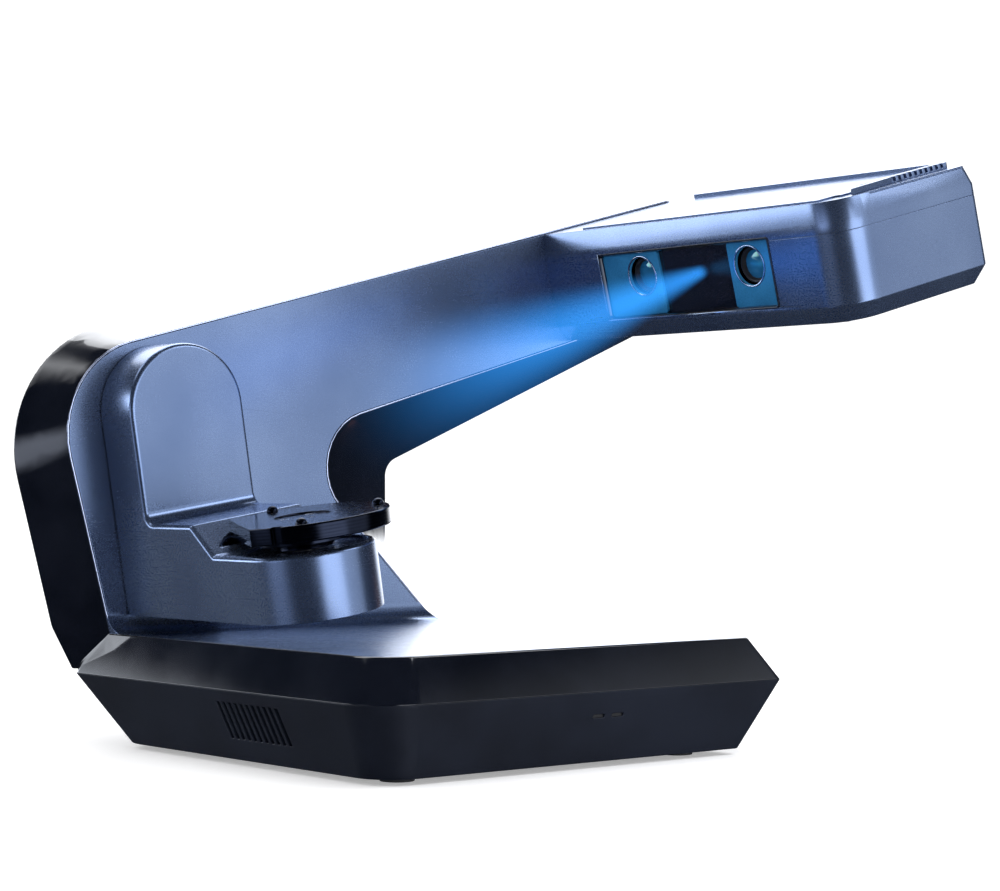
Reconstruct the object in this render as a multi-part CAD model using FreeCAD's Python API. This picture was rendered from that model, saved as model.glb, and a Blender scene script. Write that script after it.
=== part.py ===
import FreeCAD, Part
import math
import os

"""Desktop 3-D scanner: base, leaning column and arm, scanning head, tilting turntable.

Millimetres, +Z up, origin on the table under the middle of the base. Three frames are used:
the world, the body frame (t, y, n) that leans with column, arm and head, and the bracket frame
(u, y, w) that leans with the tilting bracket and has its origin on the tilt axis.
"""

V = FreeCAD.Vector

# ---------------------------------------------------------------- driving dimensions
WALL = 2.6                # thickness of the moulded shells
PLATE_Y = 84.0            # front face of the upright plate
SEAM_DEPTH = 25.0         # plate face to the seam of the rear shell
BACK_DEPTH = 72.0         # plate face to the flat back
SEAM_T = -176.5           # outer edge of the column at the seam, body frame
LEAN = 14.7               # lean of column, arm and head, degrees
BODY_ORIGIN = V(18.7, PLATE_Y, 154.25)
BRACKET_LEAN = 9.1        # lean of the bracket as modelled, degrees
TILT_AXIS = V(-91.8, PLATE_Y, 174.05)

FOOT_HEIGHT = 3.0
SEAM_Z = 38.0             # seam between gloss band and base tray
TOP_Z = 59.0              # top of the base
RIM_HALF, SEAM_HALF, FLOOR_HALF = 120.0, 127.5, 112.0
RIM_RIGHT = 112.0         # the rim sits further in on the right-hand side
RIM_FRONT, SEAM_FRONT, FLOOR_FRONT = -147.5, -155.0, -139.5
RIM_BACK, SEAM_BACK, FLOOR_BACK = 103.0, PLATE_Y + SEAM_DEPTH, 92.0
RIM_BREAK = 0.7           # small bevel round the visible rim
COVER_INSET = 1.2         # rim width left to the gloss band
COVE_R = 10.0             # hollow fillet between plate and base top

HEAD_T0, HEAD_T1 = 179.0, 291.0          # window face and far end
HEAD_FRONT = -235.0                      # front face, from the plate
HEAD_N = (20.0, 29.5, 68.0, 74.0, 84.5)  # floor, lower crease, seam, upper crease, rim
HEAD_CORNER_R = 22.0
FLOOR_BEVEL, RIM_BEVEL = 5.5, 2.6
WINDOW_Y, WINDOW_N = (-182.0, -46.0), (31.0, 70.0)
LENS_Y, LENS_N = (-163.0, -78.0), 55.0
PROJECTOR_Y = -120.5
PLATE_SPANS = ((-182.0, -148.0), (-93.0, -46.0))
LENS_HOLE_R = 10.5

BRACKET_R = 34.0          # arch radius, half width and front cylinder radius
BRACKET_FACE = -30.0      # face of the arch plate
BRACKET_BOTTOM = -102.0
SHOULDER_W, CUP_W = -54.0, -69.0
SHOULDER_END, CUP_START = -71.0, -88.0
SPIN_Y = -119.5           # turntable axis
PLATE_R, PLATE_TOP, PLATE_BOTTOM = 43.0, -54.0, -62.5
PLATE_FLAT, FLAT_ANGLE = 31.5, 156.0      # flat on the plate's edge: distance and direction
PIN_R, PIN_CIRCLE, PIN_ANGLES = 2.2, 38.0, (78.0, 234.0, 336.0)

SHAFT_R, SPINDLE_R = 6.0, 4.0
RUN = 0.05                # running clearance on radius
GEAR_TEETH, PINION_TEETH, MODULE = 66, 12, 1.0
GEAR_SPAN = (33.0, 39.0)

ROCKER_Z, TRUNNION_R = 94.5, 1.2
VENT_COUNT, VENT_PITCH, VENT_W = 11, 4.87, 2.6


# ---------------------------------------------------------------- frames and wires
def in_frame(shape, origin, lean):
    """Move a shape built in a leaning frame to its place in the world."""
    placed = shape.copy()
    frame = FreeCAD.Placement(origin, FreeCAD.Rotation(V(0, 1, 0), -lean))
    placed.Placement = frame.multiply(placed.Placement)
    return placed


def in_body(shape):
    return in_frame(shape, BODY_ORIGIN, LEAN)


def in_bracket(shape):
    return in_frame(shape, TILT_AXIS, BRACKET_LEAN)


def body_xz(t, n):
    """World x and z of a point of the body frame."""
    a = math.radians(LEAN)
    x = BODY_ORIGIN.x + t * math.cos(a) - n * math.sin(a)
    return x, BODY_ORIGIN.z + t * math.sin(a) + n * math.cos(a)


def column_x(t, z):
    """World x where the column edge at body coordinate t reaches height z."""
    a = math.radians(LEAN)
    n = (z - BODY_ORIGIN.z - t * math.sin(a)) / math.cos(a)
    return body_xz(t, n)[0]


def tilt_axis_in_body():
    """The tilt axis in body coordinates (t, n)."""
    a = math.radians(LEAN)
    dx = TILT_AXIS.x - BODY_ORIGIN.x
    dz = TILT_AXIS.z - BODY_ORIGIN.z
    return dx * math.cos(a) + dz * math.sin(a), dz * math.cos(a) - dx * math.sin(a)


def rounded_wire(corners, place):
    """Closed wire through corners (u, v, radius); place makes a 3-D point of (u, v)."""
    spans = []
    for i, (u, v, r) in enumerate(corners):
        p = V(u, v, 0)
        to_prev = (V(*corners[i - 1][:2], 0) - p).normalize()
        to_next = (V(*corners[(i + 1) % len(corners)][:2], 0) - p).normalize()
        if r == 0:
            spans.append((p, None, p))
            continue
        half = to_prev.getAngle(to_next) / 2
        cut = r / math.tan(half)
        middle = p + (to_prev + to_next).normalize() * (r / math.sin(half) - r)
        spans.append((p + to_prev * cut, middle, p + to_next * cut))
    edges = []
    for i, (start, middle, end) in enumerate(spans):
        if middle is not None:
            edges.append(Part.Arc(place(start), place(middle), place(end)).toShape())
        edges.append(Part.makeLine(place(end), place(spans[(i + 1) % len(spans)][0])))
    return Part.Wire(edges)


def inset(corners, d):
    """Corners of a counter-clockwise outline moved inwards by d."""
    moved = []
    for i, (u, v, r) in enumerate(corners):
        p = V(u, v, 0)
        before = (p - V(*corners[i - 1][:2], 0)).normalize()
        after = (V(*corners[(i + 1) % len(corners)][:2], 0) - p).normalize()
        n0 = V(-before.y, before.x, 0)
        n1 = V(-after.y, after.x, 0)
        q = p + (n0 + n1) * (d / (1 + n0.dot(n1)))
        turn = before.cross(after).z
        radius = 0 if r == 0 else max(r - d if turn > 0 else r + d, 0.4)
        moved.append((q.x, q.y, radius))
    return moved


def xz_wire(corners, y):
    return rounded_wire(corners, lambda p: V(p.x, y, p.y))


def xy_wire(corners, z):
    return rounded_wire(corners, lambda p: V(p.x, p.y, z))


def loft(*wires):
    return Part.makeLoft(list(wires), True, True)


def prism(wire, direction):
    return Part.Face(wire).extrude(direction)


def box(x0, x1, y0, y1, z0, z1):
    return Part.makeBox(x1 - x0, y1 - y0, z1 - z0, V(x0, y0, z0))


def rod(radius, start, end):
    """Cylinder between two points."""
    axis = V(*end) - V(*start)
    return Part.makeCylinder(radius, axis.Length, V(*start), axis)


def ring(outer, inner, start, end):
    return rod(outer, start, end).cut(rod(inner, start, end))


def joined(shapes):
    """One solid from touching shapes."""
    first, *rest = shapes
    return first.fuse(rest).removeSplitter() if rest else first


def screw(head_r, head_h, shank_r, length):
    """Pan-head screw along +Z, head underside at the origin plane, head below it."""
    head = rod(head_r, (0, 0, -head_h), (0, 0, 0))
    socket = rod(head_r * 0.5, (0, 0, -head_h - 1), (0, 0, -head_h * 0.45))
    return head.cut(socket).fuse(rod(shank_r, (0, 0, 0), (0, 0, length)))


def at(shape, x, y, z):
    moved = shape.copy()
    moved.translate(V(x, y, z))
    return moved


def turned(shape, axis, degrees):
    moved = shape.copy()
    moved.rotate(V(0, 0, 0), V(*axis), degrees)
    return moved


# ---------------------------------------------------------------- body outlines
def plate_outline():
    """Front rim of column and arm, counter-clockwise in x, z."""
    low = 40.0
    return [(-108.0, low, 0), (110.2, low, 0), (51.7, 98.5, 0), (-9.5, 159.7, 30),
            (*body_xz(HEAD_T1, 21), 8), (*body_xz(HEAD_T1, 86), 8), (*body_xz(-158, 86), 50),
            (column_x(-158, 58), 58, 8)]


def seam_outline():
    """Widest outline of column and arm, where the rear shell starts."""
    low = 40.0
    return [(-SEAM_HALF, low, 0), (118.0, low, 0), (75.4, 92.6, 0), (75.4, 147.2, 11),
            (*body_xz(296, 12.3), 8), (*body_xz(296, 95.2), 8), (*body_xz(SEAM_T, 95.2), 66),
            (column_x(SEAM_T, 62), 62, 14)]


def back_outline():
    """Flat back of the rear shell."""
    return [(-88.0, 70, 0), (84.0, 70, 0), (50.0, 97.0, 0), (50.0, 139.0, 14),
            (*body_xz(262, 38), 6), (*body_xz(262, 66), 6), (*body_xz(-140, 66), 40), (-97.9, 86, 8)]


def base_outline(left, right, front, back, radii):
    """Base outline; radii are front left, front right and back."""
    return [(-left, front, radii[0]), (right, front, radii[1]), (right, back, radii[2]), (-left, back, radii[2])]


def rim_base():
    return base_outline(RIM_HALF, RIM_RIGHT, RIM_FRONT, RIM_BACK, (21, 4, 4))


def seam_base():
    return base_outline(SEAM_HALF, SEAM_HALF, SEAM_FRONT, SEAM_BACK, (25, 5, 6))


def floor_base():
    return base_outline(FLOOR_HALF, FLOOR_HALF, FLOOR_FRONT, FLOOR_BACK, (20, 4, 24))


# ---------------------------------------------------------------- outer shells
def front_outer():
    plate, seam = plate_outline(), seam_outline()
    column = loft(xz_wire(inset(plate, RIM_BREAK), PLATE_Y), xz_wire(plate, PLATE_Y + RIM_BREAK),
                  xz_wire(seam, SEAM_BACK))
    base = loft(xy_wire(seam_base(), SEAM_Z), xy_wire(rim_base(), TOP_Z - RIM_BREAK),
                xy_wire(inset(rim_base(), RIM_BREAK), TOP_Z))
    return column.fuse(base)


def front_inner():
    plate, seam = inset(plate_outline(), WALL), inset(seam_outline(), WALL)
    column = loft(xz_wire(plate, PLATE_Y + WALL), xz_wire(seam, SEAM_BACK + 1))
    base = loft(xy_wire(inset(seam_base(), WALL), SEAM_Z - 1), xy_wire(inset(rim_base(), WALL), TOP_Z - WALL))
    return column.fuse(base)


def cover_region():
    """The part of the front shell that is the satin cover: plate face and base top."""
    plate = prism(xz_wire(inset(plate_outline(), COVER_INSET), PLATE_Y - 1), V(0, WALL + 1, 0))
    above_base = box(-200, 400, 0, 200, TOP_Z - 8, 500)
    top = prism(xy_wire(inset(rim_base(), COVER_INSET), TOP_Z - WALL), V(0, 0, WALL + 1))
    return plate.common(above_base).fuse(top)


def cove():
    """Hollow fillet along the foot of the plate."""
    block = box(-130, 120, PLATE_Y - COVE_R, PLATE_Y + 1, TOP_Z - 1, TOP_Z + COVE_R)
    y, z = PLATE_Y - COVE_R, TOP_Z + COVE_R
    scooped = block.cut(rod(COVE_R, (-140, y, z), (140, y, z)))
    limits = prism(xz_wire(inset(plate_outline(), 0.4), PLATE_Y - COVE_R - 1), V(0, COVE_R + 3, 0))
    return scooped.common(limits)


def front_pieces():
    shell = front_outer().cut(front_inner())
    region = cover_region()
    band = shell.cut(region).cut(cove())
    cover = shell.common(region).fuse(cove())
    shaft_hole = rod(SHAFT_R + 2, (TILT_AXIS.x, PLATE_Y - 5, TILT_AXIS.z),
                     (TILT_AXIS.x, PLATE_Y + 10, TILT_AXIS.z))
    head_port = in_body(box(194, 276, -5, 10, 27, 60))
    cover = cover.cut(shaft_hole).cut(head_port).removeSplitter()
    return cover, band


def rear_shell():
    seam, back = seam_outline(), back_outline()
    outer = loft(xz_wire(seam, SEAM_BACK), xz_wire(back, PLATE_Y + BACK_DEPTH))
    inner = loft(xz_wire(inset(seam, WALL), SEAM_BACK - 0.01),
                 xz_wire(inset(back, WALL), PLATE_Y + BACK_DEPTH - WALL))
    shell = outer.cut(inner)
    for cutter in back_cutters():
        shell = shell.cut(cutter)
    return shell


def back_cutters():
    """Openings in the flat back for inlet, switch, data socket and vents."""
    y0, y1 = PLATE_Y + BACK_DEPTH - 6, PLATE_Y + BACK_DEPTH + 2
    cutters = [box(-72, -44, y0, y1, 84, 105), box(-31, -17, y0, y1, 84, 105), box(-3, 9, y0, y1, 89, 100)]
    cutters += [box(-70, 0, y0, y1, 122 + 5 * i, 124.4 + 5 * i) for i in range(8)]
    return cutters


def base_tray():
    outer = loft(xy_wire(floor_base(), FOOT_HEIGHT), xy_wire(seam_base(), SEAM_Z))
    inner = loft(xy_wire(inset(floor_base(), WALL), FOOT_HEIGHT + WALL),
                 xy_wire(inset(seam_base(), WALL), SEAM_Z + 0.01))
    shell = outer.cut(inner)
    posts = [rod(5, (x, y, FOOT_HEIGHT), (x, y, SEAM_Z - 2)) for x, y in tray_screw_spots()]
    shell = joined([shell] + posts)
    for x, y in tray_screw_spots():
        shell = shell.cut(rod(2, (x, y, 0), (x, y, SEAM_Z + 1))).cut(rod(4.2, (x, y, 0), (x, y, 8)))
    shell = shell.cut(Part.makeCompound(side_vents() + light_slots()))
    return shell


def tray_screw_spots():
    return [(-90, -95), (90, -95), (-90, 50), (90, 50)]


def side_vents():
    """Upright slots through the left wall of the tray."""
    slots = []
    for i in range(VENT_COUNT):
        y = -23.0 - i * VENT_PITCH
        corners = [(y, 32, 0), (y - 1.5, 14, 0), (y - 1.5 - VENT_W, 14, 0), (y - VENT_W, 32, 0)]
        slots.append(prism(rounded_wire(corners, lambda p: V(-130, p.x, p.y)), V(30, 0, 0)))
    return slots


def light_spans():
    return ((4.0, 11.2), (16.0, 23.2))


def light_slots():
    return [box(x0, x1, -160, -140, 25.2, 27.0) for x0, x1 in light_spans()]


def status_lights():
    """Two light pipes that fill the slots, set back a little from the face."""
    return Part.makeCompound([box(x0 + 0.1, x1 - 0.1, -148.6, -141, 25.3, 26.9) for x0, x1 in light_spans()])


def rubber_feet():
    pad = Part.makeCone(8.0, 9.0, FOOT_HEIGHT)
    corners = [(x, y) for x in (-88, 88) for y in (-118, 62)]
    return Part.makeCompound([at(pad, x, y, 0) for x, y in corners + [(0, 0)]])


def tray_screws():
    one = screw(3.6, 2.4, 1.95, 20)
    return Part.makeCompound([at(one, x, y, 8) for x, y in tray_screw_spots()])


# ---------------------------------------------------------------- inside the fixed body
def chassis_plate():
    """Steel plate behind the cover that carries bearings, motor and optics."""
    plate = prism(xz_wire(inset(plate_outline(), 9), PLATE_Y + 4), V(0, 3, 0))
    t, n = tilt_axis_in_body()
    spots = [(-140, -30), (-140, 60), (-30, 60), (60, 60), (150, 60)]
    pads = [in_body(rod(5, (a, WALL, b), (a, 5, b))) for a, b in spots]
    plate = joined([plate] + pads)
    plate = plate.cut(in_body(rod(11, (t, 0, n), (t, 12, n))))
    return plate.cut(in_body(rod(9, (20, 0, 60), (20, 12, 60))))


def bench_and_blocks():
    """Optical bench: a plate through the arm's port with a block under each instrument."""
    parts = [box(196, 275, -205, 4, 30, 34)]
    parts += [box(203, 237, y - 12, y + 12, 34, LENS_N - 14.5) for y in LENS_Y]
    parts.append(box(205, 255, PROJECTOR_Y - 18, PROJECTOR_Y + 18, 34, 40))
    return in_body(joined(parts))


def tilt_housing():
    t, n = tilt_axis_in_body()
    tube = rod(16, (t, 7, n), (t, 31, n)).fuse(rod(24, (t, 7, n), (t, 10, n)))
    bore = rod(11, (t, 6, n), (t, 32, n))
    shape = tube.cut(bore)
    for i in range(4):
        a = math.radians(45 + 90 * i)
        x, z = t + 20 * math.cos(a), n + 20 * math.sin(a)
        shape = shape.cut(rod(1.6, (x, 5, z), (x, 12, z)))
    lip = ring(11, 9, (t, 16, n), (t, 23, n))
    below = box(t - 19, t + 19, 5, 35, n - 60, n - 39 + 18)
    return in_body(joined([shape, lip]).cut(below))


def tilt_bearings():
    t, n = tilt_axis_in_body()
    return in_body(Part.makeCompound([ring(11, SHAFT_R + RUN, (t, y, n), (t, y + 7, n)) for y in (9, 23)]))


def motor_centre():
    t, n = tilt_axis_in_body()
    return t, n - MODULE * (GEAR_TEETH + PINION_TEETH) / 2


def stepper(half, length, bore):
    """Stepper motor along +Z with its mounting face at the top, open bore for the shaft."""
    flat = inset([(-half, -half, 4), (half, -half, 4), (half, half, 4), (-half, half, 4)], 0)
    body = prism(xy_wire(flat, -length), V(0, 0, length))
    waist = prism(xy_wire(inset(flat, 0.8), -length + 6), V(0, 0, length - 12))
    band = prism(xy_wire(flat, -length + 6), V(0, 0, length - 12)).cut(waist)
    return body.cut(band).cut(rod(bore, (0, 0, -length + 5), (0, 0, 1)))


def tilt_motor():
    t, n = motor_centre()
    motor = turned(stepper(17.5, 24, 2.5 + RUN), (1, 0, 0), -90)
    return in_body(at(motor, t, 31, n))


def involute(radius, base):
    """Polar angle of the involute at a radius."""
    a = math.acos(min(base / radius, 1.0))
    return math.tan(a) - a


def gear(teeth, phase, backlash):
    """Spur gear profile extruded along +Z over the gear width, one tooth centred at phase."""
    pitch = MODULE * teeth / 2
    base = pitch * math.cos(math.radians(20))
    root, tip = pitch - 1.25 * MODULE, pitch + MODULE
    half = math.pi / (2 * teeth) - backlash / (2 * pitch) + involute(pitch, base)
    start = max(base, root)
    radii = [start + (tip - start) * k / 3 for k in range(4)]
    flank = [(root, half - involute(start, base))] + [(r, half - involute(r, base)) for r in radii]
    points = []
    for i in range(teeth):
        centre = math.radians(phase) + 2 * math.pi * i / teeth
        side = [(r, centre - a) for r, a in flank] + [(r, centre + a) for r, a in reversed(flank)]
        points += [V(r * math.cos(a), r * math.sin(a), 0) for r, a in side]
    points = [p for i, p in enumerate(points) if p.distanceToPoint(points[i - 1]) > 1e-4]
    outline = Part.makePolygon(points + points[:1])
    return Part.Face(outline).extrude(V(0, 0, GEAR_SPAN[1] - GEAR_SPAN[0]))


def along_y(shape):
    """Turn a shape built along +Z to run along +Y; its +X stays, its +Y becomes -Z."""
    return turned(shape, (1, 0, 0), -90)


def tilt_gear():
    t, n = tilt_axis_in_body()
    blank = gear(GEAR_TEETH, 90, 0.16).cut(rod(SHAFT_R, (0, 0, -1), (0, 0, 10)))
    for i in range(6):
        a = math.radians(60 * i)
        blank = blank.cut(rod(5.5, (18 * math.cos(a), 18 * math.sin(a), -1), (18 * math.cos(a), 18 * math.sin(a), 10)))
    return in_body(at(along_y(blank), t, GEAR_SPAN[0], n))


def tilt_pinion():
    t, n = motor_centre()
    phase = -90 + 180.0 / PINION_TEETH
    wheel = gear(PINION_TEETH, phase, 0.16)
    shaft = rod(2.5, (0, 0, -14), (0, 0, 8))
    return in_body(at(along_y(wheel.fuse(shaft)), t, GEAR_SPAN[0], n))


def tilt_shaft():
    t, n = tilt_axis_in_body()
    return in_body(rod(SHAFT_R, (t, -22, n), (t, 41, n)))


def main_board():
    """Circuit board on standoffs with its larger parts."""
    board = box(-70, 70, -90, 20, 14, 15.6)
    parts = [box(-20, 12, -50, -18, 15.6, 19), box(30, 56, -80, -60, 15.6, 23), box(-64, -50, -80, -20, 15.6, 24)]
    parts += [rod(5, (24 + 13 * i, 4, 15.6), (24 + 13 * i, 4, 28)) for i in range(3)]
    legs = [rod(3, (x, y, FOOT_HEIGHT + WALL), (x, y, 14)) for x in (-64, 64) for y in (-84, 14)]
    return joined([board] + parts + legs)


def power_inlet():
    """Recessed three-pin power socket in the back."""
    y1 = PLATE_Y + BACK_DEPTH
    body = box(-72, -44, y1 - 24, y1, 84, 105).fuse(box(-75, -41, y1, y1 + 2, 81, 108))
    body = body.cut(box(-69, -47, y1 - 16, y1 + 3, 87, 102))
    pins = [box(x - 1, x + 1, y1 - 18, y1 - 2, 93, 97) for x in (-64, -58, -52)]
    return joined([body] + pins)


def switch_housing():
    y1 = PLATE_Y + BACK_DEPTH
    body = box(-31, -17, y1 - 16, y1, 84, 105).fuse(box(-33, -15, y1, y1 + 1.5, 82, 107))
    body = body.cut(box(-29.3, -18.7, y1 - 12, y1 + 3, 85.8, 103.2))
    return body.cut(rod(TRUNNION_R + RUN, (-30.2, y1 - 4, ROCKER_Z), (-17.8, y1 - 4, ROCKER_Z)))


def switch_rocker():
    """Rocker that turns on two trunnions along X."""
    y1, z = PLATE_Y + BACK_DEPTH, ROCKER_Z
    corners = [(y1 - 6, z - 6, 1), (y1 - 6, z + 6, 1), (y1 + 2.6, z + 7.6, 0.6), (y1 + 0.8, z, 3), (y1 + 2.6, z - 7.6, 0.6)]
    body = prism(rounded_wire(corners, lambda p: V(-29, p.x, p.y)), V(10, 0, 0))
    return body.fuse(rod(TRUNNION_R, (-30.1, y1 - 4, z), (-17.9, y1 - 4, z)))


def data_port():
    y1 = PLATE_Y + BACK_DEPTH
    body = box(-3, 9, y1 - 16, y1 + 0.6, 89, 100).cut(box(-1.2, 7.2, y1 - 10, y1 + 2, 90.8, 98.2))
    return body.fuse(box(0.4, 5.6, y1 - 11, y1 - 1.5, 93.2, 95.6))


# ---------------------------------------------------------------- fans
def fan_frame(size, depth):
    """Square fan frame along +Z with a centre pin carried by four struts."""
    half = size / 2
    corners = [(-half, -half, 3), (half, -half, 3), (half, half, 3), (-half, half, 3)]
    frame = prism(xy_wire(corners, 0), V(0, 0, depth)).cut(rod(half - 1.2, (0, 0, -1), (0, 0, depth + 1)))
    for sx in (-1, 1):
        for sy in (-1, 1):
            x, y = sx * (half - 3.4), sy * (half - 3.4)
            frame = frame.cut(rod(1.5, (x, y, -1), (x, y, depth + 1)))
    struts = [turned(box(0, half - 0.6, -0.8, 0.8, 0, 1.2), (0, 0, 1), 45 + 90 * i) for i in range(4)]
    hub = rod(half * 0.36, (0, 0, 0), (0, 0, 1.2))
    pin = rod(1.5, (0, 0, 0), (0, 0, depth - 1.5))
    return joined([frame, hub, pin] + struts)


def fan_rotor(size, depth):
    """Seven-blade rotor that runs on the frame's pin."""
    tip, hub = size / 2 - 2.2, size * 0.18
    blade = box(hub - 1, tip, -0.6, 0.6, -depth * 0.42, depth * 0.42)
    blade = turned(blade, (1, 0, 0), 48)
    middle = depth / 2 + 0.7
    blades = [turned(at(blade, 0, 0, middle), (0, 0, 1), 360 / 7 * i) for i in range(7)]
    slab = ring(tip, 2, (0, 0, 1.8), (0, 0, depth - 0.4))
    blades = [b.common(slab) for b in blades]
    core = rod(hub, (0, 0, 1.8), (0, 0, depth - 0.4))
    return joined([core] + blades).cut(rod(1.5 + RUN, (0, 0, 0), (0, 0, depth - 1.0)))


def base_fan(part):
    return at(turned(part, (0, 1, 0), -90), -100.6, -50, 21.5)


def head_fan(part):
    return in_body(at(part, 250, -202, 71.5))


# ---------------------------------------------------------------- tilting bracket
def bracket_envelope(grow, back, face, shoulder, cup, bottom):
    """Bracket shape shared by its outside and its cavity."""
    r = BRACKET_R + grow
    profile = [(back, bottom, 0), (SPIN_Y - r - 5, bottom, 0), (SPIN_Y - r - 5, cup, 0), (CUP_START, cup, 2),
               (SHOULDER_END, shoulder, 2), (face, shoulder, 6), (face, r + 5, 0), (back, r + 5, 0)]
    side = prism(rounded_wire(profile, lambda p: V(-r - 5, p.x, p.y)), V(2 * r + 10, 0, 0))
    plan = box(-r, r, SPIN_Y, back + 1, bottom - 1, r + 5).fuse(rod(r, (0, SPIN_Y, bottom - 1), (0, SPIN_Y, r + 5)))
    arch = box(-r, r, SPIN_Y - r - 5, back + 1, bottom - 1, 0)
    arch = arch.fuse(rod(r, (0, SPIN_Y - r - 5, 0), (0, back + 1, 0)))
    return side.common(plan).common(arch).removeSplitter()


def soften(shape, radius, test):
    """Fillet the edges whose middle point passes the test."""
    edges = [e for e in shape.Edges if test(e.CenterOfMass)]
    return shape.makeFillet(radius, edges)


def tilt_bracket():
    outer = bracket_envelope(0, -1, BRACKET_FACE, SHOULDER_W, CUP_W, BRACKET_BOTTOM)
    outer = soften(outer, 2.5, lambda c: abs(c.y - BRACKET_FACE) < 0.1 and c.z > SHOULDER_W + 8)
    cavity = bracket_envelope(-3, -4, BRACKET_FACE + 3, SHOULDER_W - 3, CUP_W - 3, BRACKET_BOTTOM - 1)
    boss = rod(13, (0, BRACKET_FACE, 0), (0, -1, 0))
    shape = outer.cut(cavity.cut(boss))
    shape = shape.cut(rod(SHAFT_R, (0, -22, 0), (0, 1, 0)))
    shape = shape.cut(rod(PLATE_R + 1.5, (0, SPIN_Y, -66), (0, SPIN_Y, -40)))
    shape = shape.cut(rod(30, (0, SPIN_Y, CUP_W - 1.2), (0, SPIN_Y, CUP_W + 5)))
    shape = shape.cut(rod(11, (0, SPIN_Y, CUP_W - 5), (0, SPIN_Y, CUP_W + 5)))
    return in_bracket(shape)


def cover_screw_spots():
    return [(-25, -12), (25, -12), (-25, -84), (25, -84)]


def bracket_cover():
    r = BRACKET_R - 3.1
    plate = box(-r, r, SPIN_Y, -4.1, BRACKET_BOTTOM, BRACKET_BOTTOM + 2.5)
    plate = plate.fuse(rod(r, (0, SPIN_Y, BRACKET_BOTTOM), (0, SPIN_Y, BRACKET_BOTTOM + 2.5)))
    for x, y in cover_screw_spots():
        plate = plate.cut(rod(1.6, (x, y, BRACKET_BOTTOM - 1), (x, y, BRACKET_BOTTOM + 4)))
        plate = plate.cut(rod(3.1, (x, y, BRACKET_BOTTOM - 1), (x, y, BRACKET_BOTTOM + 1.4)))
    return in_bracket(plate.removeSplitter())


def bracket_screws():
    one = screw(3.0, 1.4, 1.55, 8)
    return in_bracket(Part.makeCompound([at(one, x, y, BRACKET_BOTTOM + 1.4) for x, y in cover_screw_spots()]))


def turntable_motor():
    top = CUP_W - 3.0
    motor = at(stepper(17.5, 26, SPINDLE_R + RUN), 0, SPIN_Y, top)
    pilot = ring(10.95, SPINDLE_R + RUN, (0, SPIN_Y, top - 1), (0, SPIN_Y, top + 1.6))
    return in_bracket(motor.fuse(pilot))


# ---------------------------------------------------------------- turntable
def turntable_plate():
    """Round plate with one flat, two edge notches, pin holes and a shallow centre recess."""
    disc = rod(PLATE_R, (0, 0, PLATE_BOTTOM), (0, 0, PLATE_TOP))
    disc = disc.makeChamfer(0.7, disc.Edges[:])
    flat = box(PLATE_FLAT, 50, -40, 40, PLATE_BOTTOM - 1, PLATE_TOP + 1)
    disc = disc.cut(turned(flat, (0, 0, 1), FLAT_ANGLE))
    for side in (-61, 61):
        notch = box(39.2, 50, -2.6, 2.6, PLATE_BOTTOM - 1, PLATE_TOP + 1)
        disc = disc.cut(turned(notch, (0, 0, 1), FLAT_ANGLE + side))
    disc = disc.cut(rod(14, (0, 0, PLATE_TOP - 0.8), (0, 0, PLATE_TOP + 1)))
    for x, y in pin_spots():
        disc = disc.cut(rod(PIN_R, (x, y, PLATE_TOP - 3), (x, y, PLATE_TOP + 1)))
        disc = disc.cut(rod(3.1, (x, y, PLATE_TOP - 0.3), (x, y, PLATE_TOP + 1)))
    for x, y in plate_screw_spots():
        disc = disc.cut(rod(1.6, (x, y, PLATE_BOTTOM - 1), (x, y, PLATE_TOP + 1)))
        disc = disc.cut(rod(3.0, (x, y, PLATE_TOP - 2.4), (x, y, PLATE_TOP + 1)))
    return in_bracket(at(disc, 0, SPIN_Y, 0))


def plate_screw_spots():
    return [(9 * math.cos(a), 9 * math.sin(a)) for a in (math.pi / 6, math.pi * 5 / 6, math.pi * 3 / 2)]


def plate_screws():
    one = turned(screw(2.8, 1.5, 1.55, 8.0), (1, 0, 0), 180)
    spots = [at(one, x, SPIN_Y + y, PLATE_TOP - 2.4) for x, y in plate_screw_spots()]
    return in_bracket(Part.makeCompound(spots))


def pin_spots():
    angles = [math.radians(a) for a in PIN_ANGLES]
    return [(PIN_CIRCLE * math.cos(a), PIN_CIRCLE * math.sin(a)) for a in angles]


def locating_pins():
    """Three domed pins that locate a model plate, on shanks pressed into the turntable plate."""
    dome = Part.makeSphere(2.9).common(box(-3, 3, -3, 3, 0, 3))
    pin = dome.fuse(rod(PIN_R, (0, 0, -3), (0, 0, 0.2))).removeSplitter()
    pins = [at(pin, x, SPIN_Y + y, PLATE_TOP) for x, y in pin_spots()]
    return in_bracket(Part.makeCompound(pins))


def turntable_hub():
    hub = rod(23, (0, SPIN_Y, PLATE_BOTTOM - 3.6), (0, SPIN_Y, PLATE_BOTTOM))
    hub = hub.fuse(rod(14, (0, SPIN_Y, CUP_W - 0.4), (0, SPIN_Y, PLATE_BOTTOM - 3)))
    hub = hub.removeSplitter().cut(rod(SPINDLE_R, (0, SPIN_Y, -80), (0, SPIN_Y, PLATE_BOTTOM - 1)))
    for x, y in plate_screw_spots():
        hub = hub.cut(rod(1.55, (x, SPIN_Y + y, PLATE_BOTTOM - 4.5), (x, SPIN_Y + y, PLATE_BOTTOM + 1)))
    return in_bracket(hub)


def turntable_shaft():
    return in_bracket(rod(SPINDLE_R, (0, SPIN_Y, -92), (0, SPIN_Y, PLATE_BOTTOM - 1)))


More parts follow.
